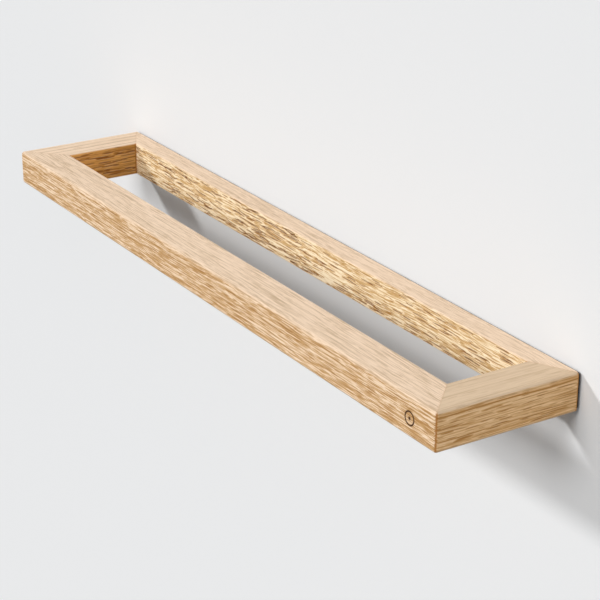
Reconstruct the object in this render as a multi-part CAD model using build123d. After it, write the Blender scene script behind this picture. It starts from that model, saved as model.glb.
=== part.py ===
from build123d import *

import os

# A bicycle wall rack: a rigid ring of four mitred oak rails, which stands out level from a wall
# and holds the bicycle in the slot between its front and back rails. A thin steel plate behind
# the back rail hangs on four wall screws by its keyholes.
#
# All sizes are in millimetres. The origin is on the plate's wall face, at the middle of the rack's
# length and height. +X runs along the wall, +Y into the wall and +Z up.

# Ring
length = 600.0
wood_depth = 111.0
height = 28.0
front_rail_width = 31.0
back_rail_width = 17.0
end_rail_width = 31.0
outer_edge_radius = 2.5
slot_edge_radius = 1.0

# Dowels that cross the mitres, two in each, all along X so that each end rail pushes straight on
dowel_diameter = 8.0
dowel_length = 40.0
dowel_spacing = 14.0
dowel_chamfer = 1.0
dowel_cover = 4.0
dowel_glue_gap = 0.1
dowel_end_gap = 1.0

# Wall plate, a little smaller than the ring all round
plate_thickness = 2.0
plate_inset = 1.2

# Keyholes, entered at the bottom, each with a pocket in the back rail for the wall screw's head
key_count = 4
key_end_distance = 75.0
key_entry_diameter = 10.5
key_neck_width = 5.2
key_drop = 10.0
pocket_margin = 1.0
pocket_depth = 6.0

# Countersunk screws that hold the plate to the back rail, one on each side of each keyhole
screw_key_distance = 20.0
screw_diameter = 3.5
screw_head_diameter = 7.0
screw_length = 14.0
screw_tip_length = 3.0
screw_head_sink = 0.1
screw_hole_gap = 0.15
recess_span = 3.6
recess_width = 0.9
recess_depth = 1.1

# Where the main faces lie
wood_back = -plate_thickness
wood_front = wood_back - wood_depth
slot_front = wood_front + front_rail_width
slot_back = wood_back - back_rail_width
slot_middle = (slot_front + slot_back) / 2
half_length = length / 2
slot_half_length = half_length - end_rail_width


def spun_about_y(outline, x=0.0, z=0.0):
    """Solid of revolution about a line along Y, from (radius, y) points."""
    points = [(radius, y, 0.0) for radius, y in outline]
    profile = make_face(Polyline(*points, close=True))
    return Pos(x, 0, z) * revolve(profile, axis=Axis.Y)


def rod_along_x(radius, x_from, x_to, y, z, end_chamfer=0.0):
    """Cylinder between two places on X, with both ends chamfered if asked."""
    rod = Cylinder(radius, abs(x_to - x_from), rotation=(0, 90, 0))
    if end_chamfer:
        rod = chamfer(rod.edges().filter_by(GeomType.CIRCLE), end_chamfer)
    return Pos((x_from + x_to) / 2, y, z) * rod


def block(x_span, y_span, z_span):
    """Box that fills three (low, high) spans."""
    spans = (x_span, y_span, z_span)
    sizes = [high - low for low, high in spans]
    middles = [(low + high) / 2 for low, high in spans]
    return Pos(*middles) * Box(*sizes)


def ring_blank():
    """The whole ring before it is divided at the mitres, with its outer edges rounded over."""
    half_height = height / 2
    blank = block((-half_length, half_length), (wood_front, wood_back), (-half_height, half_height))
    plate_side = blank.faces().sort_by(Axis.Y)[-1]
    blank = fillet(blank.edges() - plate_side.edges(), outer_edge_radius)
    slot_x = (-slot_half_length, slot_half_length)
    return blank - block(slot_x, (slot_front, slot_back), (-height, height))


def ring_corner(end, inner_y, outer_y):
    """Where a mitre starts at the slot and where it ends outside, in plan."""
    return Vector(end * slot_half_length, inner_y), Vector(end * half_length, outer_y)


def rail_share(first_corner, next_corner):
    """Prism over one rail's share of the ring, from the slot's middle out past two corners."""
    (inner_a, outer_a), (inner_b, outer_b) = first_corner, next_corner
    beyond_a, beyond_b = outer_a * 2 - inner_a, outer_b * 2 - inner_b
    points = [Vector(0, slot_middle), inner_a, beyond_a, beyond_b, inner_b]
    outline = make_face(Polyline(*points, close=True))
    return Pos(0, 0, -height) * extrude(outline, 2 * height, dir=(0, 0, 1))


def mitred_rails():
    """The four rails by name, cut from the ring, each with its two edges along the slot eased."""
    corners = [
        ring_corner(-1, slot_front, wood_front),
        ring_corner(1, slot_front, wood_front),
        ring_corner(1, slot_back, wood_back),
        ring_corner(-1, slot_back, wood_back),
    ]
    names = ["front_rail", "right_end_rail", "back_rail", "left_end_rail"]
    lines = [Axis.X, Axis.Y, Axis.X, Axis.Y]
    ring = ring_blank()
    found = {}
    for name, line, corner, next_corner in zip(names, lines, corners, corners[1:] + corners[:1]):
        rail = ring & rail_share(corner, next_corner)
        slot_face = rail.faces().sort_by_distance((0, slot_middle, 0))[0]
        found[name] = fillet(slot_face.edges().filter_by(line), slot_edge_radius)
    return found


def dowel_lines():
    """Name, end (-1 left, 1 right), y and z of each dowel."""
    front_y = wood_front + front_rail_width / 2
    back_y = wood_back - back_rail_width / 2
    return [
        (f"dowel_{rail}_{side}_{level}", end, y, sign * dowel_spacing / 2)
        for rail, y in (("front", front_y), ("back", back_y))
        for side, end in (("left", -1), ("right", 1))
        for level, sign in (("lower", -1), ("upper", 1))
    ]


def dowel(end, y, z):
    outside = half_length - dowel_cover - dowel_end_gap
    inside = outside - dowel_length
    return rod_along_x(dowel_diameter / 2, end * inside, end * outside, y, z, dowel_chamfer)


def dowel_hole(end, y, z):
    outside = half_length - dowel_cover
    inside = outside - dowel_length - 2 * dowel_end_gap
    radius = dowel_diameter / 2 + dowel_glue_gap
    return rod_along_x(radius, end * inside, end * outside, y, z)


def key_places():
    """The x of each keyhole, evenly spread between the two outermost."""
    outermost = half_length - key_end_distance
    pitch = 2 * outermost / (key_count - 1)
    return [-outermost + pitch * index for index in range(key_count)]


def screw_places():
    return [x + step for x in key_places() for step in (-screw_key_distance, screw_key_distance)]


def keyhole(x):
    """Round entry with a narrower neck above it, right through the plate."""
    entry = Pos(0, -key_drop / 2) * Circle(key_entry_diameter / 2)
    neck_end = Pos(0, key_drop / 2) * Circle(key_neck_width / 2)
    neck = Rectangle(key_neck_width, key_drop)
    outline = Plane.XZ * (entry + neck_end + neck)
    return Pos(x, 0, 0) * extrude(outline, plate_thickness, both=True)


def head_pocket(x):
    """Room behind a keyhole for the wall screw's head, from the entry to the neck's end."""
    width = key_entry_diameter + 2 * pocket_margin
    outline = Plane.XZ * SlotCenterToCenter(key_drop, width, rotation=90)
    pocket = extrude(outline, pocket_depth, dir=(0, -1, 0))
    return Pos(x, wood_back, 0) * pocket


def screw_cone_depth():
    """Depth of the screw head's 90 degree cone."""
    return (screw_head_diameter - screw_diameter) / 2


def plate_screw(x):
    head_top = -screw_head_sink
    head_bottom = head_top - screw_cone_depth()
    tip = head_top - screw_length
    radius = screw_diameter / 2
    outline = [
        (0, head_top),
        (screw_head_diameter / 2, head_top),
        (radius, head_bottom),
        (radius, tip + screw_tip_length),
        (0, tip),
    ]
    recess_span_y = (head_top - recess_depth, 0)
    across = (-recess_span / 2, recess_span / 2)
    narrow = (-recess_width / 2, recess_width / 2)
    recess = block(across, recess_span_y, narrow) + block(narrow, recess_span_y, across)
    return Pos(x, 0, 0) * (spun_about_y(outline) - recess)


def screw_hole(x):
    """Countersunk hole through the plate that runs on into the rail, wider than the screw all over."""
    cone_top = screw_head_diameter / 2 + screw_head_sink + screw_hole_gap
    radius = screw_diameter / 2 + screw_hole_gap
    cone_bottom = -(cone_top - radius)
    bottom = -screw_head_sink - screw_length - screw_hole_gap
    outline = [(0, 0), (cone_top, 0), (radius, cone_bottom), (radius, bottom), (0, bottom)]
    return spun_about_y(outline, x)


def wall_plate():
    sides = (length - 2 * plate_inset, height - 2 * plate_inset)
    outline = Plane.XZ * RectangleRounded(*sides, outer_edge_radius)
    plate = extrude(outline, plate_thickness, dir=(0, -1, 0))
    plate -= [keyhole(x) for x in key_places()]
    plate -= [screw_hole(x) for x in screw_places()]
    return plate


def drilled_rails():
    """The rails with their dowel holes, and with the back rail's pockets and screw holes."""
    holes = [dowel_hole(end, y, z) for _, end, y, z in dowel_lines()]
    holes += [head_pocket(x) for x in key_places()]
    holes += [screw_hole(x) for x in screw_places()]
    return {name: rail - holes for name, rail in mitred_rails().items()}


def pieces():
    """Every piece of the rack by its name."""
    found = drilled_rails()
    found["wall_plate"] = wall_plate()
    for name, end, y, z in dowel_lines():
        found[name] = dowel(end, y, z)
    for number, x in enumerate(screw_places(), start=1):
        found[f"plate_screw_{number}"] = plate_screw(x)
    return found


os.makedirs("parts", exist_ok=True)
for name, piece in pieces().items():
    export_step(piece, f"parts/{name}.step")
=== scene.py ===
import math
import random
from typing import NamedTuple

import bmesh
import bpy
import numpy as np
from mathutils import Matrix, Vector


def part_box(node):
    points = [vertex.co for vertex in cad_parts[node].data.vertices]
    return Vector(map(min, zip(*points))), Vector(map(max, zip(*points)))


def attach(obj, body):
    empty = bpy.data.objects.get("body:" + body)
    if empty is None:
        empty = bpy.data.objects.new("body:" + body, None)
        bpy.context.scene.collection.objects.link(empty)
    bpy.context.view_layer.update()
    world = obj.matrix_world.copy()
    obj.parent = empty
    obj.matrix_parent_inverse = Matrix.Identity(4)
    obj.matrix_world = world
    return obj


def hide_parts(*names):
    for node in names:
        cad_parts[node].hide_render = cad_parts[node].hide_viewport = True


bl_info = {
    "name": "Bicycle wall rack",
    "version": (1, 0, 0),
    "blender": (4, 5, 0),
    "location": "View3D > Sidebar > Rack",
    "description": "An oiled oak ring on a powder-coated wall plate that holds a bicycle on a wall",
    "category": "Add Mesh",
}

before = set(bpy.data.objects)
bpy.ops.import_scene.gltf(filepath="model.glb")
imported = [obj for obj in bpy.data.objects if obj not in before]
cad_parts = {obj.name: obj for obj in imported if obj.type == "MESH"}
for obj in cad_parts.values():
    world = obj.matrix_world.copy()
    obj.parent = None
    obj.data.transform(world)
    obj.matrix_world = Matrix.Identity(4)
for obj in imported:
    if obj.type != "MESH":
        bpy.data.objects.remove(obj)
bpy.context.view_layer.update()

MM = 0.001  # one millimetre in the scene's metres
PER_MM = 1000.0  # turns metres into millimetres

# The ring's outside, its slot and its plate, in millimetres
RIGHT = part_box("right_end_rail")[1].x * PER_MM
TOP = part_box("front_rail")[1].z * PER_MM
WOOD_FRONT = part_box("front_rail")[0].y * PER_MM
SLOT_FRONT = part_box("front_rail")[1].y * PER_MM
SLOT_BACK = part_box("back_rail")[0].y * PER_MM
WOOD_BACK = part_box("back_rail")[1].y * PER_MM
SLOT_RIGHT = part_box("right_end_rail")[0].x * PER_MM

# What the CAD rails have where their boxes don't tell, in millimetres
ROUND_OVER = 2.5
SLOT_EASE = 1.0
DOWEL_END_GAP = 1.0
DOWEL_GLUE_GAP = 0.1
KEY_PLACES = (-225.0, -75.0, 75.0, 225.0)
KEY_DROP = 10.0
POCKET_WIDTH = 12.5
POCKET_DEPTH = 6.0
SCREW_HOLE_RADIUS = 1.9
SCREW_HOLE_DEPTH = 12.25

# The four faces of a rail, in the order that its outline runs, and its two eased edges
SLOT_FACE, TOP_FACE, OUTER_FACE, UNDER_FACE, EASED_EDGE = range(5)

# In millimetres: the depth of open grain that the material takes as 1, how far in from a mitre
# the gouges reach their depth, the pitch of the mesh on a rounded edge, and how far the tool of
# a pocket or screw hole stands out of the wood
FULL_GRAIN = 0.6
GRAIN_RUN_IN = 1.0
ROUNDED_PITCH = 0.5
TOOL_STANDS_OUT = 1.0

# How dark a year ring is across its width: the open earlywood first, then the dense latewood
EARLYWOOD = ((0.0, 0.6), (0.04, 1.0), (0.14, 0.3), (0.35, 0.0), (0.95, 0.0), (1.0, 0.6))

ROD_SEGMENTS = 32
SHARP_ANGLE = math.radians(50)


class Gouges(NamedTuple):
    """Gouges of open grain on one face of a rail, with sizes in millimetres as (least, most)."""

    face: int
    count: int
    length: tuple
    width: tuple
    depth: tuple
    tilt: float  # slope across the grain, as a standard deviation
    bow: float  # sag over their length in mm, as a standard deviation
    crowd: float = 1.0  # above 1 they crowd towards the face's low side
    begin: float = 0.0  # where they start, as a share of the rail's length
    finish: float = 1.0  # where they end


class Figure(NamedTuple):
    """How one board's grain looks, with sizes in millimetres and strengths from 0 to 1."""

    along: str  # the axis that the grain follows
    offset: tuple  # shifts the pattern, so that no two boards are alike
    sides: str  # palest colour of the sides, sRGB hex
    # The top's palest colour is paler and greyer than the sides' with painted sheen
    planed: str  # palest colour of the planed top, sRGB hex
    pith: tuple  # where the tree's middle lies, across the board and up
    ring_width: float
    ring_strength: float
    streaks: float  # strength of the loose streaks
    fibre_length: float
    fibre_width: float
    fibre_strength: float
    rays: float  # strength of the pale rays
    wander: float  # how far the grain strays
    pore_length: float
    pore_width: float
    pore_share: float
    relief: float  # depth of the fine grain
    year_line: float = None  # height of one strong year line


# Properties


class RackOak(bpy.types.PropertyGroup):
    """The oak of all four rails."""

    pale: bpy.props.StringProperty(
        name="Pale wood",
        description="Palest wood of the front rail's sides, sRGB hex",
        default="#FBDFC0",
    )
    back_pale: bpy.props.StringProperty(
        name="Back wood",
        description="Palest wood of the back rail's sides, sRGB hex",
        default="#FFECCB",
    )
    end_pale: bpy.props.StringProperty(
        name="End wood",
        description="Palest wood of the right end rail's sides, sRGB hex",
        default="#F3CC9C",
    )
    # The left end rail's sides are a deeper honey than the right one's: painted shade and warm bounce light
    # on the same oak
    shaded_honey: bpy.props.StringProperty(
        name="Honey wood",
        description="Palest wood of the left end rail's sides, sRGB hex",
        default="#EEB062",
    )
    pore: bpy.props.StringProperty(
        name="Pore",
        description="Bottom of the deepest open grain, sRGB hex",
        default="#6B380B",
    )
    # The top colours are paler and greyer than the sides' colours: painted sheen of the light from above
    planed: bpy.props.StringProperty(
        name="Planed top",
        description="Palest wood of the planed top faces, sRGB hex",
        default="#F3D8BC",
    )
    end_sheened_top: bpy.props.StringProperty(
        name="End top",
        description="Palest wood of the right end rail's top, sRGB hex",
        default="#DDC3A4",
    )
    sheened_top_line: bpy.props.StringProperty(
        name="Top line",
        description="Darkest lines of the planed top faces, sRGB hex",
        default="#977C5C",
    )
    glue: bpy.props.StringProperty(
        name="Glue line",
        description="Line where two rails meet, sRGB hex",
        default="#B0702A",
    )
    scorch: bpy.props.StringProperty(
        name="Scorch",
        description="Line of the burnt ring mark, sRGB hex",
        default="#4A2E18",
    )
    mark_radius: bpy.props.FloatProperty(
        name="Mark radius",
        description="Radius of the burnt ring mark in millimetres",
        default=4.6,
    )
    mark_line: bpy.props.FloatProperty(
        name="Mark line",
        description="Width of the burnt line in millimetres",
        default=1.2,
    )
    mark_inset: bpy.props.FloatProperty(
        name="Mark inset",
        description="From the rail's right end to the mark in millimetres",
        default=27.3,
    )
    mark_height: bpy.props.FloatProperty(
        name="Mark height",
        description="Height of the mark's middle in millimetres",
        default=-0.7,
    )


class RackPlate(bpy.types.PropertyGroup):
    """The steel plate, its screws and the dowels."""

    powder: bpy.props.StringProperty(
        name="Powder coat",
        description="Colour of the plate's coat, sRGB hex",
        default="#1E1F1E",
    )
    beech: bpy.props.StringProperty(
        name="Beech",
        description="Colour of the dowels, sRGB hex",
        default="#DDB48C",
    )
    beech_fleck: bpy.props.StringProperty(
        name="Beech fleck",
        description="Colour of the dowels' flecks, sRGB hex",
        default="#B98A62",
    )
    zinc: bpy.props.StringProperty(
        name="Zinc",
        description="Colour of the plated screws, sRGB hex",
        default="#C9CBC8",
    )


class RackStage(bpy.types.PropertyGroup):
    """Wall, floor, lights and camera."""

    paint: bpy.props.StringProperty(
        name="Paint",
        description="Colour of the wall and floor, sRGB hex",
        default="#ECEDEE",
    )
    backdrop: bpy.props.StringProperty(
        name="Backdrop",
        description="Colour behind the wall and floor, sRGB hex",
        default="#E6E6E6",
    )
    ambient: bpy.props.FloatProperty(
        name="Ambient",
        description="Strength of the light from all round",
        default=0.16,
    )
    floor_drop: bpy.props.FloatProperty(
        name="Floor drop",
        description="How far the floor is below the rack",
        default=1.1,
        unit="LENGTH",
    )
    wall_top: bpy.props.FloatProperty(
        name="Wall top",
        description="How far the wall reaches above the rack",
        default=3.0,
        unit="LENGTH",
    )
    room: bpy.props.FloatProperty(
        name="Room",
        description="Length and depth of the floor",
        default=12.0,
        unit="LENGTH",
    )
    azimuth: bpy.props.FloatProperty(
        name="Azimuth",
        description="Camera's turn from the wall's normal",
        default=math.radians(57.62),
        subtype="ANGLE",
    )
    elevation: bpy.props.FloatProperty(
        name="Elevation",
        description="How far the camera looks down",
        default=math.radians(22.48),
        subtype="ANGLE",
    )
    roll: bpy.props.FloatProperty(
        name="Roll",
        description="Camera's turn about its own line of sight",
        default=math.radians(0.246),
        subtype="ANGLE",
    )
    distance: bpy.props.FloatProperty(
        name="Distance",
        description="From the camera to the point it looks at",
        default=1.388,
        unit="LENGTH",
    )
    aim: bpy.props.FloatVectorProperty(
        name="Aim",
        description="Point the camera looks at",
        default=(0.0038, -0.0223, -0.0365),
        subtype="XYZ",
    )
    lens: bpy.props.FloatProperty(
        name="Lens",
        description="Focal length in millimetres on a 36 mm sensor",
        default=109.5,
    )


# Shared helpers


def linear(hex_colour):
    """sRGB hex to a linear RGBA colour."""
    channels = [int(hex_colour[i : i + 2], 16) / 255 for i in (1, 3, 5)]
    return [c / 12.92 if c <= 0.04045 else ((c + 0.055) / 1.055) ** 2.4 for c in channels] + [1.0]


def grey(value):
    """A linear RGBA grey."""
    return (value, value, value, 1.0)


def stain(pale, dark, steps=6):
    """Ramp stops from pale to dark wood: each step takes away the same share of every colour."""
    shares = [step / (steps - 1) for step in range(steps)]
    ends = list(zip(linear(pale), linear(dark)))
    return [(share, [a ** (1 - share) * b**share for a, b in ends]) for share in shares]


def add(tree, kind, inputs=None, stops=None, **settings):
    """Adds a node.

    inputs maps a socket's name or number to a value or to the socket that feeds it, stops are a
    ramp's (place, colour), and settings are the node's own properties.
    """
    node = tree.nodes.new(kind)
    for name, value in settings.items():
        setattr(node, name, value)
    for key, value in (inputs or {}).items():
        if isinstance(value, bpy.types.NodeSocket):
            tree.links.new(value, node.inputs[key])
        else:
            node.inputs[key].default_value = value
    if stops:
        ramp = node.color_ramp.elements
        while len(ramp) < len(stops):
            ramp.new(1.0)
        for element, (place, colour) in zip(ramp, stops):
            element.position = place
            element.color = colour
    return node


def new_material(name):
    """An empty node material and its tree."""
    material = bpy.data.materials.new(name)
    material.use_nodes = True
    material.node_tree.nodes.clear()
    return material, material.node_tree


def dress(node_name, material):
    """Gives a CAD node a finished material in all of its slots."""
    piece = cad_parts[node_name]
    if not piece.data.materials:
        piece.data.materials.append(material)
    for index in range(len(piece.data.materials)):
        piece.data.materials[index] = material


# Shapes of the rails


def mitre(end, front):
    """A mitre's inner and outer point in plan, in mm; end is -1 at the left or 1 at the right."""
    if front:
        return (end * SLOT_RIGHT, SLOT_FRONT), (end * RIGHT, WOOD_FRONT)
    return (end * SLOT_RIGHT, SLOT_BACK), (end * RIGHT, WOOD_BACK)


def spread(low, high, pitch):
    """Even places from low up to, but without, high, no further apart than pitch."""
    count = max(1, math.ceil(abs(high - low) / pitch - 1e-9))
    return [low + (high - low) * step / count for step in range(count)]


def rail_outline(width, pitches):
    """(across, z, face) points round a rail, from the foot of its slot face upward.

    pitches are the mesh's pitch on the slot, top, outer and under faces. The two edges along the
    slot are eased here. The outer ones stay sharp until round_outside().
    """
    slot_pitch, top_pitch, outer_pitch, under_pitch = pitches
    ease = SLOT_EASE
    turns = [math.radians(a) for a in (0, 22.5, 45, 67.5)]
    side = TOP - ease
    flat = TOP - ROUND_OVER
    far = width - ROUND_OVER

    points = [(0.0, z, SLOT_FACE) for z in spread(-side, side, slot_pitch)]
    points += [(ease * (1 - math.cos(a)), side + ease * math.sin(a), EASED_EDGE) for a in turns]
    outward = spread(ease, far, top_pitch) + spread(far, width, ROUNDED_PITCH)
    points += [(across, TOP, TOP_FACE) for across in outward]
    downward = spread(TOP, flat, ROUNDED_PITCH)
    downward += spread(flat, -flat, outer_pitch)
    downward += spread(-flat, -TOP, ROUNDED_PITCH)
    points += [(width, z, OUTER_FACE) for z in downward]
    inward = spread(width, far, ROUNDED_PITCH) + spread(far, ease, under_pitch)
    points += [(across, -TOP, UNDER_FACE) for across in inward]
    points += [(ease * (1 - math.sin(a)), -side - ease * math.cos(a), EASED_EDGE) for a in turns]
    return points


def round_outside(points):
    """Rounds the ring's outer edges over, all but those on the plate side."""
    low = np.array([ROUND_OVER - RIGHT, WOOD_FRONT + ROUND_OVER, ROUND_OVER - TOP])
    high = np.array([RIGHT - ROUND_OVER, np.inf, TOP - ROUND_OVER])
    core = np.clip(points, low, high)
    beyond = points - core
    reach = np.abs(beyond).max(axis=-1, keepdims=True)
    size = np.linalg.norm(beyond, axis=-1, keepdims=True)
    return core + beyond * reach / np.maximum(size, 1e-9)


def open_grain(along, place, faces, cuts, seed):
    """Depth of the open grain at each point, in mm, and how much oil has soaked in round it, up to 1."""
    draw = random.Random(seed)
    depth = np.zeros(along.shape)
    soaked = np.zeros(along.shape)
    for cut in cuts:
        columns = np.flatnonzero(faces == cut.face)
        near = place[columns].min()
        far = place[columns].max()
        first = along[:, columns].min()
        last = along[:, columns].max()
        for _ in range(cut.count):
            middle = first + (last - first) * draw.uniform(cut.begin, cut.finish)
            across = near + (far - near) * draw.random() ** cut.crowd
            long = draw.uniform(*cut.length)
            wide = draw.uniform(*cut.width)
            deep = draw.uniform(*cut.depth)
            slope = draw.gauss(0, cut.tilt) * long
            sag = draw.gauss(0, cut.bow)
            slack = wide + abs(slope) / 2 + abs(sag)
            close = columns[np.abs(place[columns] - across) < slack]
            if not len(close):
                continue
            reach = (middle - long / 2, middle + long / 2)
            rows = slice(*np.searchsorted(along[:, close[0]], reach))
            block = (rows, slice(close[0], close[-1] + 1))
            run = (along[block] - middle) / (long / 2)
            line = across + slope * run / 2 + sag * (run * run - 0.5)
            off = (place[block[1]] - line) / (wide / 2)
            rounded = deep * np.sqrt(np.clip(1 - run * run, 0, None))
            depth[block] = np.maximum(depth[block], rounded * np.clip(1 - off * off, 0, None))
            oil = rounded / FULL_GRAIN * np.clip(1 - off * off / 4, 0, None)
            soaked[block] = np.maximum(soaked[block], oil)
    return depth, soaked


def rail_mesh(name, lengthwise, slot_side, outer_side, start, end, pitches, bands, cuts, seed):
    """A rail between its two mitres: a closed mesh whose faces carry their open grain.

    start and end are where it begins and ends, each at the slot and outside. pitches are those
    of rail_outline(), and bands are the pitch along it as (up to this share, pitch).
    """
    width = abs(outer_side - slot_side)
    outline = rail_outline(width, pitches)
    across, level, faces = (np.array(column) for column in zip(*outline))
    length = abs(end[1] - start[1])
    places = []
    reached = 0.0
    for up_to, pitch in bands:
        places += spread(reached, up_to * length, pitch)
        reached = up_to * length
    shares = np.array(places + [length])[:, None] / length
    share = across / width
    first = start[0] + share * (start[1] - start[0])
    last = end[0] + share * (end[1] - end[0])
    along = first + shares * (last - first)
    side = np.broadcast_to(slot_side + share * (outer_side - slot_side), along.shape)
    height = np.broadcast_to(level, along.shape)
    ordered = (along, side, height) if lengthwise == "X" else (side, along, height)
    points = round_outside(np.stack(ordered, axis=-1))

    rows, columns = along.shape
    index = np.arange(rows * columns).reshape(rows, columns)
    after = np.roll(index, -1, axis=1)
    quads = np.stack([index[:-1], after[:-1], after[1:], index[1:]], axis=-1).reshape(-1, 4)
    caps = [index[0][::-1].tolist(), index[-1].tolist()]
    mesh = bpy.data.meshes.new(name)
    mesh.from_pydata((points.reshape(-1, 3) * MM).tolist(), [], quads.tolist() + caps)
    shape = bmesh.new()
    shape.from_mesh(mesh)
    if shape.calc_volume(signed=True) < 0:
        bmesh.ops.reverse_faces(shape, faces=shape.faces)
    shape.to_mesh(mesh)
    shape.free()
    mesh.update()

    place = np.where((faces == SLOT_FACE) | (faces == OUTER_FACE), level, across)
    depth, soaked = open_grain(along, place, faces, cuts, seed)
    from_mitre = np.minimum(np.abs(along - first), np.abs(last - along))
    depth *= np.clip(from_mitre / GRAIN_RUN_IN, 0, 1)
    normals = np.zeros(rows * columns * 3)
    mesh.vertices.foreach_get("normal", normals)
    moved = points.reshape(-1, 3) * MM - normals.reshape(-1, 3) * depth.reshape(-1, 1) * MM
    mesh.vertices.foreach_set("co", moved.ravel())
    for layer, values in (("open_grain", depth / FULL_GRAIN), ("soaked_oil", soaked)):
        mesh.attributes.new(layer, "FLOAT", "POINT").data.foreach_set("value", values.ravel())
    mesh.update()
    return mesh


def rod(shape, radius, start, end):
    """Adds a closed rod between two points in mm to a bmesh."""
    start = Vector(start)
    end = Vector(end)
    turn = (end - start).to_track_quat("Z", "Y").to_matrix().to_4x4()
    middle = Matrix.Translation((start + end) / 2 * MM)
    bmesh.ops.create_cone(
        shape,
        cap_ends=True,
        segments=ROD_SEGMENTS,
        radius1=radius * MM,
        radius2=radius * MM,
        depth=(end - start).length * MM,
        matrix=middle @ turn,
    )


def pocket(shape, x):
    """Adds the room for a wall screw's head behind a keyhole to a bmesh."""
    half_turn = ROD_SEGMENTS // 2
    turns = [math.pi * step / half_turn for step in range(half_turn + 1)]
    radius = POCKET_WIDTH / 2
    ring = [(x + radius * math.cos(a), KEY_DROP / 2 + radius * math.sin(a)) for a in turns]
    ring += [(x - radius * math.cos(a), -KEY_DROP / 2 - radius * math.sin(a)) for a in turns]
    layers = [
        [shape.verts.new((px * MM, y * MM, pz * MM)) for px, pz in ring]
        for y in (WOOD_BACK - POCKET_DEPTH, WOOD_BACK + TOOL_STANDS_OUT)
    ]
    inner, outer = layers
    shape.faces.new(inner)
    shape.faces.new(outer[::-1])
    for step in range(len(ring)):
        ahead = (step + 1) % len(ring)
        shape.faces.new((inner[step], outer[step], outer[ahead], inner[ahead]))


def volume(mesh):
    """Volume of a closed mesh, below zero if its faces point inward."""
    shape = bmesh.new()
    shape.from_mesh(mesh)
    found = shape.calc_volume(signed=True)
    shape.free()
    return found


def drilled(name, mesh, material, dowels, hangs=False):
    """The rail as a piece, with its holes taken out of it: those of its dowels, and to hang it by.

    The rail is cut into triangles first, because the solver needs flat faces and carved ones aren't.
    """
    holes = bpy.data.meshes.new(name + "_holes")
    shape = bmesh.new()
    drill_for_dowels(shape, dowels)
    if hangs:
        drill_for_hanging(shape)
    bmesh.ops.recalc_face_normals(shape, faces=shape.faces)
    shape.to_mesh(holes)
    shape.free()
    cutter = bpy.data.objects.new(name + "_holes", holes)
    piece = bpy.data.objects.new(name, mesh)
    for made in (cutter, piece):
        bpy.context.scene.collection.objects.link(made)
    piece.modifiers.new("flat_faces", "TRIANGULATE")
    cut = piece.modifiers.new("holes", "BOOLEAN")
    cut.object = cutter
    cut.operation = "DIFFERENCE"
    cut.solver = "EXACT"
    finished = piece.evaluated_get(bpy.context.evaluated_depsgraph_get())
    solid = bpy.data.meshes.new_from_object(finished)
    if not 0 < volume(solid) < volume(mesh):
        raise RuntimeError(f"{name}: its holes didn't come out of it")
    piece.modifiers.clear()
    piece.data = solid
    bpy.data.objects.remove(cutter)
    bpy.data.meshes.remove(holes)
    bpy.data.meshes.remove(mesh)
    solid.name = name
    solid.polygons.foreach_set("use_smooth", [True] * len(solid.polygons))
    solid.set_sharp_from_angle(angle=SHARP_ANGLE)
    solid.materials.clear()
    solid.materials.append(material)
    return piece


def drill_for_dowels(shape, rail):
    """Adds the holes for the dowels that have rail in their names to a bmesh."""
    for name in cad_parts:
        if name.startswith("dowel_") and rail in name:
            low, high = (corner * PER_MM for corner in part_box(name))
            middle = (low + high) / 2
            start = (low.x - DOWEL_END_GAP, middle.y, middle.z)
            end = (high.x + DOWEL_END_GAP, middle.y, middle.z)
            rod(shape, (high.z - low.z) / 2 + DOWEL_GLUE_GAP, start, end)


def drill_for_hanging(shape):
    """Adds the pockets behind the keyholes and the holes for the plate's screws to a bmesh."""
    for x in KEY_PLACES:
        pocket(shape, x)
    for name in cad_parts:
        if name.startswith("plate_screw"):
            low, high = (corner * PER_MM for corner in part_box(name))
            middle = (low + high) / 2
            start = (middle.x, WOOD_BACK - SCREW_HOLE_DEPTH, middle.z)
            end = (middle.x, WOOD_BACK + TOOL_STANDS_OUT, middle.z)
            rod(shape, SCREW_HOLE_RADIUS, start, end)


def settle(piece, node):
    """Hands a finished rail to the frame in place of its CAD node."""
    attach(piece, "root")
    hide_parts(node)


# Materials


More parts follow.
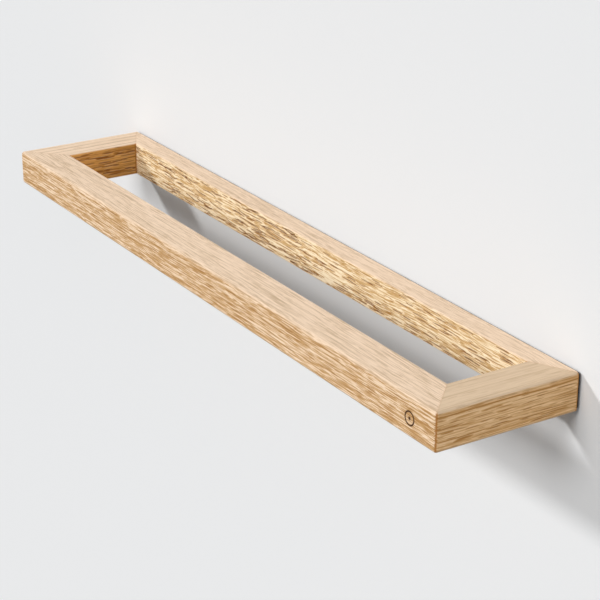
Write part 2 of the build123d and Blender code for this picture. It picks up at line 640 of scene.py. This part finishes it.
def oak_material(name, look, figure, joints, mark=False):
    """European oak, planed, sanded and oiled: warm tan with brown open pores along the grain.

    Fibres and pores are drawn two or three times as wide as real ones, which are too fine to show.
    joints are the mitres at the board's ends, as mitre() gives them.
    """
    material, tree = new_material(name)
    place = add(tree, "ShaderNodeTexCoord").outputs["Object"]
    turn = 0.0 if figure.along == "X" else math.radians(-90)
    to_grain = {"Location": figure.offset, "Rotation": (0, 0, turn), "Scale": (PER_MM,) * 3}
    grain = add(tree, "ShaderNodeMapping", {"Vector": place, **to_grain}).outputs[0]

    # The grain strays a few millimetres over a long way: once in 125 mm along it and 33 mm across
    slow = add(tree, "ShaderNodeMapping", {"Vector": grain, "Scale": (0.008, 0.03, 0.03)}).outputs[0]
    drift = add(tree, "ShaderNodeTexNoise", {"Vector": slow, "Scale": 1.0, "Detail": 3.0}).outputs["Color"]
    evenly = {0: drift, 1: (0.5, 0.5, 0.5)}
    drift = add(tree, "ShaderNodeVectorMath", evenly, operation="SUBTRACT").outputs[0]
    reach = {0: drift, 1: (0, figure.wander, figure.wander)}
    drift = add(tree, "ShaderNodeVectorMath", reach, operation="MULTIPLY").outputs[0]
    flow = add(tree, "ShaderNodeVectorMath", {0: grain, 1: drift}, operation="ADD").outputs[0]

    def strands(length, width, detail, shown, strength):
        """Strands along the grain, about length by width in mm, as dark as strength says."""
        scale = (1 / length, 1 / width, 1 / width)
        fitted = add(tree, "ShaderNodeMapping", {"Vector": flow, "Scale": scale}).outputs[0]
        noise = {"Vector": fitted, "Scale": 1.0, "Detail": detail}
        cloud = add(tree, "ShaderNodeTexNoise", noise).outputs["Fac"]
        source = {"Value": cloud, "From Min": shown[0], "From Max": shown[1]}
        shade = {"To Min": strength[0], "To Max": strength[1]}
        return add(tree, "ShaderNodeMapRange", {**source, **shade}).outputs["Result"]

    # Year rings are cylinders about the pith, and each starts with a band of open earlywood
    middle = {0: flow, 1: (0, *figure.pith)}
    from_pith = add(tree, "ShaderNodeVectorMath", middle, operation="SUBTRACT").outputs[0]
    across_grain = {0: from_pith, 1: (0, 1, 1)}
    from_pith = add(tree, "ShaderNodeVectorMath", across_grain, operation="MULTIPLY").outputs[0]
    radius = add(tree, "ShaderNodeVectorMath", {0: from_pith}, operation="LENGTH").outputs["Value"]
    age = add(tree, "ShaderNodeMath", {0: radius, 1: figure.ring_width}, operation="DIVIDE").outputs[0]
    phase = add(tree, "ShaderNodeMath", {0: age}, operation="FRACT").outputs[0]
    bands = [(share, grey(shade)) for share, shade in EARLYWOOD]
    early = add(tree, "ShaderNodeValToRGB", {"Fac": phase}, bands).outputs["Color"]

    # How dark the wood is: 0 in the palest rays, 1 in the deepest pores
    strength = figure.ring_strength
    broken = strands(length=50, width=8, detail=2, shown=(0.38, 0.6), strength=(0.25 * strength, strength))
    dark = add(tree, "ShaderNodeMath", {0: early, 1: broken}, operation="MULTIPLY").outputs[0]
    streaks = strands(length=100, width=2.2, detail=4, shown=(0.5, 0.68), strength=(0, figure.streaks))
    dark = add(tree, "ShaderNodeMath", {0: dark, 1: streaks}, operation="MAXIMUM").outputs[0]
    fibre = {"length": figure.fibre_length, "width": figure.fibre_width, "detail": 2}
    for layer in (
        strands(**fibre, shown=(0.47, 0.61), strength=(0, figure.fibre_strength)),
        strands(length=9, width=0.9, detail=2, shown=(0.5, 0.64), strength=(0, -figure.rays)),
        strands(length=166, width=11, detail=2, shown=(0.3, 0.7), strength=(-0.02, 0.05)),
    ):
        dark = add(tree, "ShaderNodeMath", {0: dark, 1: layer}, operation="ADD").outputs[0]

    # Fine pores between the carved ones, more of them in earlywood, and fainter on the top faces, where
    # painted sheen washes them out
    facing = add(tree, "ShaderNodeNewGeometry").outputs["Normal"]
    facing = add(tree, "ShaderNodeSeparateXYZ", {"Vector": facing})
    level = add(tree, "ShaderNodeMath", {0: facing.outputs["Z"]}, operation="ABSOLUTE").outputs[0]
    scale = (1 / figure.pore_length, 1 / figure.pore_width, 1 / figure.pore_width)
    cells = add(tree, "ShaderNodeMapping", {"Vector": flow, "Scale": scale}).outputs[0]
    cells = add(tree, "ShaderNodeTexVoronoi", {"Vector": cells, "Scale": 1.0})
    hollow = {"From Min": 0.2, "From Max": 0.45, "To Min": 0.45, "To Max": 0.0}
    hollow["Value"] = cells.outputs["Distance"]
    pit = add(tree, "ShaderNodeMapRange", hollow).outputs["Result"]
    share = {"Value": early, "To Min": 0.35 * figure.pore_share, "To Max": figure.pore_share}
    chance = add(tree, "ShaderNodeMapRange", share).outputs["Result"]
    picked = add(tree, "ShaderNodeSeparateColor", {"Color": cells.outputs["Color"]}).outputs["Red"]
    picked = add(tree, "ShaderNodeMath", {0: picked, 1: chance}, operation="LESS_THAN").outputs[0]
    pit = add(tree, "ShaderNodeMath", {0: pit, 1: picked}, operation="MULTIPLY").outputs[0]
    # Pores fade on faces that look up: painted sheen
    on_sides = {"Value": level, "From Min": 0.3, "From Max": 0.85, "To Min": 1.0, "To Max": 0.3}
    on_sides = add(tree, "ShaderNodeMapRange", on_sides).outputs["Result"]
    pit = add(tree, "ShaderNodeMath", {0: pit, 1: on_sides}, operation="MULTIPLY").outputs[0]
    dark = add(tree, "ShaderNodeMath", {0: dark, 1: pit}, operation="MAXIMUM").outputs[0]

    # Carved open grain comes with the mesh, and oil that soaked in round it turns the wood golden
    oil = add(tree, "ShaderNodeAttribute", attribute_name="soaked_oil").outputs["Fac"]
    oil = add(tree, "ShaderNodeMapRange", {"Value": oil, "To Max": 0.42}).outputs["Result"]
    dark = add(tree, "ShaderNodeMath", {0: dark, 1: oil}, operation="MAXIMUM").outputs[0]
    carved = add(tree, "ShaderNodeAttribute", attribute_name="open_grain").outputs["Fac"]
    full = {"Value": carved, "From Max": 0.55, "To Max": 1.0}
    carved = add(tree, "ShaderNodeMapRange", full).outputs["Result"]
    dark = add(tree, "ShaderNodeMath", {0: dark, 1: carved}, operation="MAXIMUM").outputs[0]

    # One strong year line about a millimetre wide that runs just under the top edge
    if figure.year_line:
        up = add(tree, "ShaderNodeSeparateXYZ", {"Vector": flow}).outputs["Z"]
        off = add(tree, "ShaderNodeMath", {0: up, 1: figure.year_line}, operation="SUBTRACT").outputs[0]
        off = add(tree, "ShaderNodeMath", {0: off}, operation="ABSOLUTE").outputs[0]
        limits = {"From Min": 0.3, "From Max": 0.8, "To Min": 0.38, "To Max": 0.0}
        line = add(tree, "ShaderNodeMapRange", {"Value": off, **limits}).outputs["Result"]
        dark = add(tree, "ShaderNodeMath", {0: dark, 1: line}, operation="MAXIMUM").outputs[0]

    # The top faces are paler and greyer than the sides: painted sheen of the light from above, on wood of
    # one colour
    side = stain(figure.sides, look.pore)
    side = add(tree, "ShaderNodeValToRGB", {"Fac": dark}, side).outputs["Color"]
    top = stain(figure.planed, look.sheened_top_line)
    top = add(tree, "ShaderNodeValToRGB", {"Fac": dark}, top).outputs["Color"]
    planed = {"Value": level, "From Min": 0.05, "From Max": 0.7}
    planed = add(tree, "ShaderNodeMapRange", planed).outputs["Result"]
    both = {"Factor": planed, "A": side, "B": top}
    colour = add(tree, "ShaderNodeMix", both, data_type="RGBA").outputs["Result"]

    # Glue line where the rail meets its neighbours, under a millimetre wide on each side
    shows = {"Value": level, "From Min": 0.4, "From Max": 0.9, "To Min": 0.8, "To Max": 0.12}
    shows = add(tree, "ShaderNodeMapRange", shows).outputs["Result"]
    for inner, outer in joints:
        way = Vector((outer[1] - inner[1], inner[0] - outer[0], 0)).normalized()
        over = {0: place, 1: way}
        over = add(tree, "ShaderNodeVectorMath", over, operation="DOT_PRODUCT").outputs["Value"]
        joint = (way.x * inner[0] + way.y * inner[1]) * MM
        off = add(tree, "ShaderNodeMath", {0: over, 1: joint}, operation="SUBTRACT").outputs[0]
        off = add(tree, "ShaderNodeMath", {0: off}, operation="ABSOLUTE").outputs[0]
        limits = {"From Min": 0.35 * MM, "From Max": 0.9 * MM, "To Min": shows, "To Max": 0.0}
        line = add(tree, "ShaderNodeMapRange", {"Value": off, **limits}).outputs["Result"]
        glued = {"Factor": line, "A": colour, "B": linear(look.glue)}
        colour = add(tree, "ShaderNodeMix", glued, data_type="RGBA").outputs["Result"]

    # Burnt ring with a dot in it
    if mark:
        spot = Vector((RIGHT - look.mark_inset, WOOD_FRONT, look.mark_height)) * MM
        flat = add(tree, "ShaderNodeVectorMath", {0: place, 1: spot}, operation="SUBTRACT").outputs[0]
        flat = add(tree, "ShaderNodeVectorMath", {0: flat, 1: (1, 0, 1)}, operation="MULTIPLY").outputs[0]
        out = add(tree, "ShaderNodeVectorMath", {0: flat}, operation="LENGTH").outputs["Value"]
        from_ring = {0: out, 1: look.mark_radius * MM}
        off = add(tree, "ShaderNodeMath", from_ring, operation="SUBTRACT").outputs[0]
        off = add(tree, "ShaderNodeMath", {0: off}, operation="ABSOLUTE").outputs[0]
        dot = add(tree, "ShaderNodeMath", {0: out, 1: 0.5}, operation="MULTIPLY").outputs[0]
        off = add(tree, "ShaderNodeMath", {0: off, 1: dot}, operation="MINIMUM").outputs[0]
        front = {0: facing.outputs["Y"], 1: -0.7}
        front = add(tree, "ShaderNodeMath", front, operation="LESS_THAN").outputs[0]
        line = look.mark_line * MM
        limits = {"From Min": 0.3 * line, "From Max": 0.7 * line, "To Min": front, "To Max": 0.0}
        burnt = add(tree, "ShaderNodeMapRange", {"Value": off, **limits}).outputs["Result"]
        scorched = {"Factor": burnt, "A": colour, "B": linear(look.scorch)}
        colour = add(tree, "ShaderNodeMix", scorched, data_type="RGBA").outputs["Result"]

    # Fibres stand a little proud and pores lie deeper, and both are rougher than the planed wood
    proud = strands(**fibre, shown=(0, 1), strength=(0, 0.5))
    height = add(tree, "ShaderNodeMath", {0: proud, 1: pit}, operation="SUBTRACT").outputs[0]
    bump = {"Height": height, "Strength": 1.0, "Distance": figure.relief * MM}
    bump = add(tree, "ShaderNodeBump", bump).outputs["Normal"]
    rough = add(tree, "ShaderNodeMapRange", {"Value": dark, "To Min": 0.5, "To Max": 0.85}).outputs["Result"]
    finish = {"Base Color": colour, "Roughness": rough, "Normal": bump}
    finish |= {"IOR": 1.5, "Specular IOR Level": 0.12}
    surface = add(tree, "ShaderNodeBsdfPrincipled", finish)
    add(tree, "ShaderNodeOutputMaterial", {"Surface": surface.outputs["BSDF"]})
    return material


def powder_coat_material(look):
    """Steel sheet with a baked powder coat: near black and matt, with the coat's faint orange peel."""
    material, tree = new_material("steel_powder_coated")
    place = add(tree, "ShaderNodeTexCoord").outputs["Object"]

    # The peel's dimples are about 1 mm wide, and faint dusty patches about 25 mm
    peel = add(tree, "ShaderNodeTexNoise", {"Vector": place, "Scale": 900.0, "Detail": 2.0}).outputs["Fac"]
    dust = add(tree, "ShaderNodeTexNoise", {"Vector": place, "Scale": 40.0, "Detail": 4.0}).outputs["Fac"]
    coat = linear(look.powder)
    dusty = [min(1.0, 1.9 * channel) for channel in coat[:3]] + [1.0]
    patches = {"Factor": dust, "A": coat, "B": dusty}
    colour = add(tree, "ShaderNodeMix", patches, data_type="RGBA").outputs["Result"]
    rough = add(tree, "ShaderNodeMapRange", {"Value": dust, "To Min": 0.42, "To Max": 0.6}).outputs["Result"]
    bump = {"Height": peel, "Strength": 1.0, "Distance": 0.03 * MM}
    bump = add(tree, "ShaderNodeBump", bump).outputs["Normal"]
    finish = {"Base Color": colour, "Roughness": rough, "Normal": bump, "IOR": 1.5}
    surface = add(tree, "ShaderNodeBsdfPrincipled", finish)
    add(tree, "ShaderNodeOutputMaterial", {"Surface": surface.outputs["BSDF"]})
    return material


def zinc_material(look):
    """Steel screws with a bright zinc plating: a soft shine with grey patches."""
    material, tree = new_material("steel_zinc_plated")
    place = add(tree, "ShaderNodeTexCoord").outputs["Object"]

    # The patches are about 2 mm wide, because the heads are only 7 mm
    patch = add(tree, "ShaderNodeTexNoise", {"Vector": place, "Scale": 500.0, "Detail": 3.0}).outputs["Fac"]
    zinc = linear(look.zinc)
    dull = [0.6 * channel for channel in zinc[:3]] + [1.0]
    patches = {"Factor": patch, "A": zinc, "B": dull}
    colour = add(tree, "ShaderNodeMix", patches, data_type="RGBA").outputs["Result"]
    shine = {"Value": patch, "To Min": 0.25, "To Max": 0.45}
    rough = add(tree, "ShaderNodeMapRange", shine).outputs["Result"]
    finish = {"Base Color": colour, "Roughness": rough, "Metallic": 1.0}
    surface = add(tree, "ShaderNodeBsdfPrincipled", finish)
    add(tree, "ShaderNodeOutputMaterial", {"Surface": surface.outputs["BSDF"]})
    return material


def beech_material(look):
    """Beech dowels, turned and left bare: pinkish tan with short dark flecks along the grain."""
    material, tree = new_material("beech_turned")
    place = add(tree, "ShaderNodeTexCoord").outputs["Object"]

    # The flecks are about 8 mm long and 0.7 mm wide
    grain = add(tree, "ShaderNodeMapping", {"Vector": place, "Scale": (120, 1500, 1500)}).outputs[0]
    fleck = add(tree, "ShaderNodeTexNoise", {"Vector": grain, "Scale": 1.0, "Detail": 3.0}).outputs["Fac"]
    stops = [(0.35, linear(look.beech_fleck)), (0.65, linear(look.beech))]
    colour = add(tree, "ShaderNodeValToRGB", {"Fac": fleck}, stops).outputs["Color"]
    bump = add(tree, "ShaderNodeBump", {"Height": fleck, "Distance": 0.05 * MM}).outputs["Normal"]
    finish = {"Base Color": colour, "Roughness": 0.7, "Normal": bump}
    surface = add(tree, "ShaderNodeBsdfPrincipled", finish)
    add(tree, "ShaderNodeOutputMaterial", {"Surface": surface.outputs["BSDF"]})
    return material


def paint_material(name, colour, one_sided):
    """Matt emulsion on plaster, rolled: flat pale grey with the roller's faint stipple."""
    material, tree = new_material(name)
    place = add(tree, "ShaderNodeTexCoord").outputs["Object"]

    # The stipple is about 1.7 mm wide
    stipple = {"Vector": place, "Scale": 600.0, "Detail": 2.0}
    stipple = add(tree, "ShaderNodeTexNoise", stipple).outputs["Fac"]
    bump = add(tree, "ShaderNodeBump", {"Height": stipple, "Distance": 0.02 * MM}).outputs["Normal"]
    surface = add(tree, "ShaderNodeBsdfDiffuse", {"Color": linear(colour), "Normal": bump}).outputs[0]

    # A one-sided sheet doesn't hide what is behind it
    if one_sided:
        clear = add(tree, "ShaderNodeBsdfTransparent").outputs[0]
        behind = add(tree, "ShaderNodeNewGeometry").outputs["Backfacing"]
        surface = add(tree, "ShaderNodeMixShader", {0: behind, 1: surface, 2: clear}).outputs[0]
    add(tree, "ShaderNodeOutputMaterial", {"Surface": surface})
    return material


# Stage


def sheet(name, corners, material):
    """A flat rectangle for the stage, from its four corners."""
    mesh = bpy.data.meshes.new(name)
    mesh.from_pydata(corners, [], [(0, 1, 2, 3)])
    mesh.materials.append(material)
    made = bpy.data.objects.new(name, mesh)
    bpy.context.scene.collection.objects.link(made)
    return made


def sun(name, direction, strength, angle):
    """A soft distant lamp that shines along a direction; angle is its width in degrees."""
    lamp = bpy.data.lights.new(name, "SUN")
    lamp.energy = strength
    lamp.angle = math.radians(angle)
    made = bpy.data.objects.new(name, lamp)
    made.rotation_euler = Vector(direction).to_track_quat("-Z", "Y").to_euler()
    bpy.context.scene.collection.objects.link(made)


# Operators


class RACK_OT_front_rail(bpy.types.Operator):
    """Makes the front rail with its fine open grain and its burnt ring mark."""

    bl_idname = "rack.front_rail"
    bl_label = "Front rail"

    def execute(self, context):
        look = context.scene.rack_oak
        figure = Figure(
            along="X",
            offset=(0, 0, 0),
            sides=look.pale,
            planed=look.planed,
            pith=(60, -95),
            ring_width=2.6,
            ring_strength=0.16,
            streaks=0.1,
            fibre_length=38,
            fibre_width=0.85,
            fibre_strength=0.32,
            rays=0.2,
            wander=6,
            pore_length=12,
            pore_width=0.7,
            pore_share=0.5,
            relief=0.09,
        )
        joints = [mitre(-1, True), mitre(1, True)]
        material = oak_material("oak_front_rail", look, figure, joints, mark=True)
        mesh = rail_mesh(
            "front_rail_oak",
            "X",
            SLOT_FRONT,
            WOOD_FRONT,
            start=(-SLOT_RIGHT, -RIGHT),
            end=(SLOT_RIGHT, RIGHT),
            pitches=(0.8, 0.9, 0.3, 1.6),
            bands=[(0.004, 0.5), (0.996, 1.25), (1.0, 0.5)],
            cuts=[
                Gouges(
                    OUTER_FACE, 1100, length=(7, 22), width=(0.5, 0.75), depth=(0.05, 0.2),
                    tilt=0.01, bow=0.15,
                ),
                Gouges(
                    TOP_FACE, 400, length=(6, 18), width=(0.9, 1.2), depth=(0.02, 0.08),
                    tilt=0.01, bow=0.1,
                ),
                Gouges(
                    SLOT_FACE, 300, length=(4, 14), width=(0.9, 1.2), depth=(0.1, 0.3),
                    tilt=0.02, bow=0.12,
                ),
                Gouges(
                    UNDER_FACE, 200, length=(5, 16), width=(1.5, 1.8), depth=(0.05, 0.2),
                    tilt=0.01, bow=0.1,
                ),
            ],
            seed=11,
        )
        settle(drilled("front_rail_oak", mesh, material, dowels="front"), "front_rail")
        return {"FINISHED"}


class RACK_OT_back_rail(bpy.types.Operator):
    """Makes the back rail, whose slot face has coarse open grain, with its pockets and holes."""

    bl_idname = "rack.back_rail"
    bl_label = "Back rail"

    def execute(self, context):
        look = context.scene.rack_oak
        figure = Figure(
            along="X",
            offset=(430, 31, 57),
            sides=look.back_pale,
            planed=look.planed,
            pith=(-70, -90),
            ring_width=3.4,
            ring_strength=0.18,
            streaks=0.14,
            fibre_length=38,
            fibre_width=0.85,
            fibre_strength=0.23,
            rays=0.2,
            wander=12,
            pore_length=9,
            pore_width=0.9,
            pore_share=0.4,
            relief=0.12,
        )
        joints = [mitre(-1, False), mitre(1, False)]
        material = oak_material("oak_back_rail", look, figure, joints)
        mesh = rail_mesh(
            "back_rail_oak",
            "X",
            SLOT_BACK,
            WOOD_BACK,
            start=(-SLOT_RIGHT, -RIGHT),
            end=(SLOT_RIGHT, RIGHT),
            pitches=(0.35, 0.8, 4.0, 1.6),
            bands=[(1.0, 1.0)],
            cuts=[
                Gouges(
                    SLOT_FACE, 60, length=(10, 24), width=(0.7, 0.9), depth=(0.45, 0.7),
                    tilt=0.07, bow=0.7, crowd=1.1, begin=0.08, finish=0.5,
                ),
                Gouges(
                    SLOT_FACE, 200, length=(8, 20), width=(0.6, 0.8), depth=(0.3, 0.55),
                    tilt=0.02, bow=0.25, crowd=1.5,
                ),
                Gouges(
                    SLOT_FACE, 300, length=(8, 22), width=(0.6, 0.85), depth=(0.08, 0.22),
                    tilt=0.02, bow=0.25, crowd=1.1,
                ),
                Gouges(
                    TOP_FACE, 220, length=(6, 18), width=(0.9, 1.2), depth=(0.02, 0.08),
                    tilt=0.01, bow=0.1,
                ),
                Gouges(
                    UNDER_FACE, 100, length=(5, 16), width=(1.5, 1.8), depth=(0.05, 0.2),
                    tilt=0.01, bow=0.1,
                ),
            ],
            seed=23,
        )
        rail = drilled("back_rail_oak", mesh, material, dowels="back", hangs=True)
        settle(rail, "back_rail")
        return {"FINISHED"}


class RACK_OT_end_rails(bpy.types.Operator):
    """Makes the two end rails, from a browner board with clear year lines; the left one is a deeper honey as
    painted shade and warm bounce light.
    """

    bl_idname = "rack.end_rails"
    bl_label = "End rails"

    def execute(self, context):
        look = context.scene.rack_oak
        # The left rail's deeper honey sides are painted shade and warm bounce light
        left = Figure(
            along="Y",
            offset=(70, 190, 0),
            sides=look.shaded_honey,
            planed=look.planed,
            pith=(0, -400.2),
            ring_width=5.4,
            ring_strength=0.5,
            streaks=0.15,
            fibre_length=120,
            fibre_width=1.0,
            fibre_strength=0.15,
            rays=0.08,
            wander=5,
            pore_length=11,
            pore_width=0.6,
            pore_share=0.42,
            relief=0.12,
        )
        right = left._replace(
            offset=(210, 64, 0),
            sides=look.end_pale,
            planed=look.end_sheened_top,
            ring_strength=0.22,
            streaks=0.066,
            year_line=10.6,
        )
        for side, end, figure, seed in (("left", -1, left, 37), ("right", 1, right, 41)):
            name = side + "_end_rail"
            material = oak_material("oak_" + name, look, figure, [mitre(end, True), mitre(end, False)])
            mesh = rail_mesh(
                name + "_oak",
                "Y",
                end * SLOT_RIGHT,
                end * RIGHT,
                start=(SLOT_FRONT, WOOD_FRONT),
                end=(SLOT_BACK, WOOD_BACK),
                pitches=(0.5, 0.8, 0.4, 1.6),
                bands=[(0.025, 0.5), (1.0, 0.8)],
                cuts=[
                    Gouges(
                        OUTER_FACE, 110, length=(6, 26), width=(0.6, 0.9), depth=(0.06, 0.2),
                        tilt=0.015, bow=0.15,
                    ),
                    Gouges(
                        SLOT_FACE, 90, length=(5, 20), width=(0.9, 1.3), depth=(0.1, 0.3),
                        tilt=0.02, bow=0.2,
                    ),
                    Gouges(
                        TOP_FACE, 70, length=(6, 18), width=(0.9, 1.2), depth=(0.02, 0.1),
                        tilt=0.01, bow=0.1,
                    ),
                    Gouges(
                        UNDER_FACE, 40, length=(5, 16), width=(1.5, 1.8), depth=(0.05, 0.2),
                        tilt=0.01, bow=0.1,
                    ),
                ],
                seed=seed,
            )
            settle(drilled(name + "_oak", mesh, material, dowels=side), name)
        return {"FINISHED"}


class RACK_OT_dowels(bpy.types.Operator):
    """Dresses the dowels inside the mitres in bare beech."""

    bl_idname = "rack.dowels"
    bl_label = "Dowels"

    def execute(self, context):
        beech = beech_material(context.scene.rack_plate)
        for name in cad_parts:
            if name.startswith("dowel"):
                dress(name, beech)
        return {"FINISHED"}


class RACK_OT_wall_plate(bpy.types.Operator):
    """Dresses the wall plate in its powder coat."""

    bl_idname = "rack.wall_plate"
    bl_label = "Wall plate"

    def execute(self, context):
        dress("wall_plate", powder_coat_material(context.scene.rack_plate))
        return {"FINISHED"}


class RACK_OT_plate_screws(bpy.types.Operator):
    """Dresses the countersunk screws in zinc."""

    bl_idname = "rack.plate_screws"
    bl_label = "Plate screws"

    def execute(self, context):
        zinc = zinc_material(context.scene.rack_plate)
        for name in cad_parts:
            if name.startswith("plate_screw"):
                dress(name, zinc)
        return {"FINISHED"}


class RACK_OT_stage(bpy.types.Operator):
    """Adds the wall, the floor, the lights and the camera."""

    bl_idname = "rack.stage"
    bl_label = "Stage"

    def execute(self, context):
        look = context.scene.rack_stage
        half = look.room / 2
        low = -look.floor_drop
        high = look.wall_top

        # The wall stands just clear of the plate and lets the lamps' light through from behind
        gap = 0.3 * MM
        wall = sheet(
            "stage_wall",
            [(-half, gap, low), (half, gap, low), (half, gap, high), (-half, gap, high)],
            paint_material("emulsion_wall", look.paint, one_sided=True),
        )
        wall.visible_shadow = False

        # The floor throws no light back up at the rack
        floor = sheet(
            "stage_floor",
            [(-half, -half, low), (half, -half, low), (half, half, low), (-half, half, low)],
            paint_material("emulsion_floor", look.paint, one_sided=False),
        )
        floor.visible_diffuse = False

        # The rail beside the wall would throw a warm glow up it
        bpy.data.objects["back_rail_oak"].visible_diffuse = False

        # The key lamp gives the shadow on the wall, and the wider ones soften it
        sun("key_light", direction=(1.0, 1.0, -0.69), strength=1.57, angle=6.0)
        sun("front_light", direction=(-0.05, 1.0, -0.4), strength=1.5, angle=24.0)
        sun("side_light", direction=(-1.0, 0.35, -0.45), strength=0.5, angle=40.0)
        sun("rear_light", direction=(0.3, -1.0, -0.5), strength=0.8, angle=60.0)

        world = bpy.data.worlds.new("studio")
        world.use_nodes = True
        tree = world.node_tree
        tree.nodes.clear()
        seen = add(tree, "ShaderNodeLightPath").outputs["Is Camera Ray"]
        faint = {"Color": grey(1.0), "Strength": look.ambient}
        faint = add(tree, "ShaderNodeBackground", faint).outputs[0]
        backdrop = {"Color": linear(look.backdrop), "Strength": 1.0}
        backdrop = add(tree, "ShaderNodeBackground", backdrop).outputs[0]
        mixed = add(tree, "ShaderNodeMixShader", {0: seen, 1: faint, 2: backdrop}).outputs[0]
        add(tree, "ShaderNodeOutputWorld", {"Surface": mixed})
        context.scene.world = world
        context.scene.view_settings.view_transform = "Standard"

        camera = bpy.data.cameras.new("camera")
        camera.lens = look.lens
        camera.sensor_width = 36.0
        camera.clip_start = 0.01
        forward = Vector(
            (
                -math.sin(look.azimuth) * math.cos(look.elevation),
                math.cos(look.azimuth) * math.cos(look.elevation),
                -math.sin(look.elevation),
            )
        )
        eye = bpy.data.objects.new("camera", camera)
        turn = forward.to_track_quat("-Z", "Y").to_matrix() @ Matrix.Rotation(look.roll, 3, "Z")
        eye.matrix_world = Matrix.Translation(Vector(look.aim) - look.distance * forward) @ turn.to_4x4()
        context.scene.collection.objects.link(eye)
        context.scene.camera = eye
        return {"FINISHED"}


class RACK_PT_panel(bpy.types.Panel):
    """Lists the operators that make the rack's pieces and its stage."""

    bl_label = "Bicycle wall rack"
    bl_space_type = "VIEW_3D"
    bl_region_type = "UI"
    bl_category = "Rack"

    def draw(self, context):
        for operator in OPERATORS:
            self.layout.operator(operator.bl_idname)


OPERATORS = (
    RACK_OT_front_rail,
    RACK_OT_back_rail,
    RACK_OT_end_rails,
    RACK_OT_dowels,
    RACK_OT_wall_plate,
    RACK_OT_plate_screws,
    RACK_OT_stage,
)
GROUPS = {"rack_oak": RackOak, "rack_plate": RackPlate, "rack_stage": RackStage}


def register():
    for made in (*GROUPS.values(), *OPERATORS, RACK_PT_panel):
        bpy.utils.register_class(made)
    for name, group in GROUPS.items():
        setattr(bpy.types.Scene, name, bpy.props.PointerProperty(type=group))


def unregister():
    for name in GROUPS:
        delattr(bpy.types.Scene, name)
    for made in reversed((*GROUPS.values(), *OPERATORS, RACK_PT_panel)):
        bpy.utils.unregister_class(made)


def main():
    register()
    for operator in OPERATORS:
        family, name = operator.bl_idname.split(".")
        getattr(getattr(bpy.ops, family), name)()


if __name__ == "__main__":
    main()
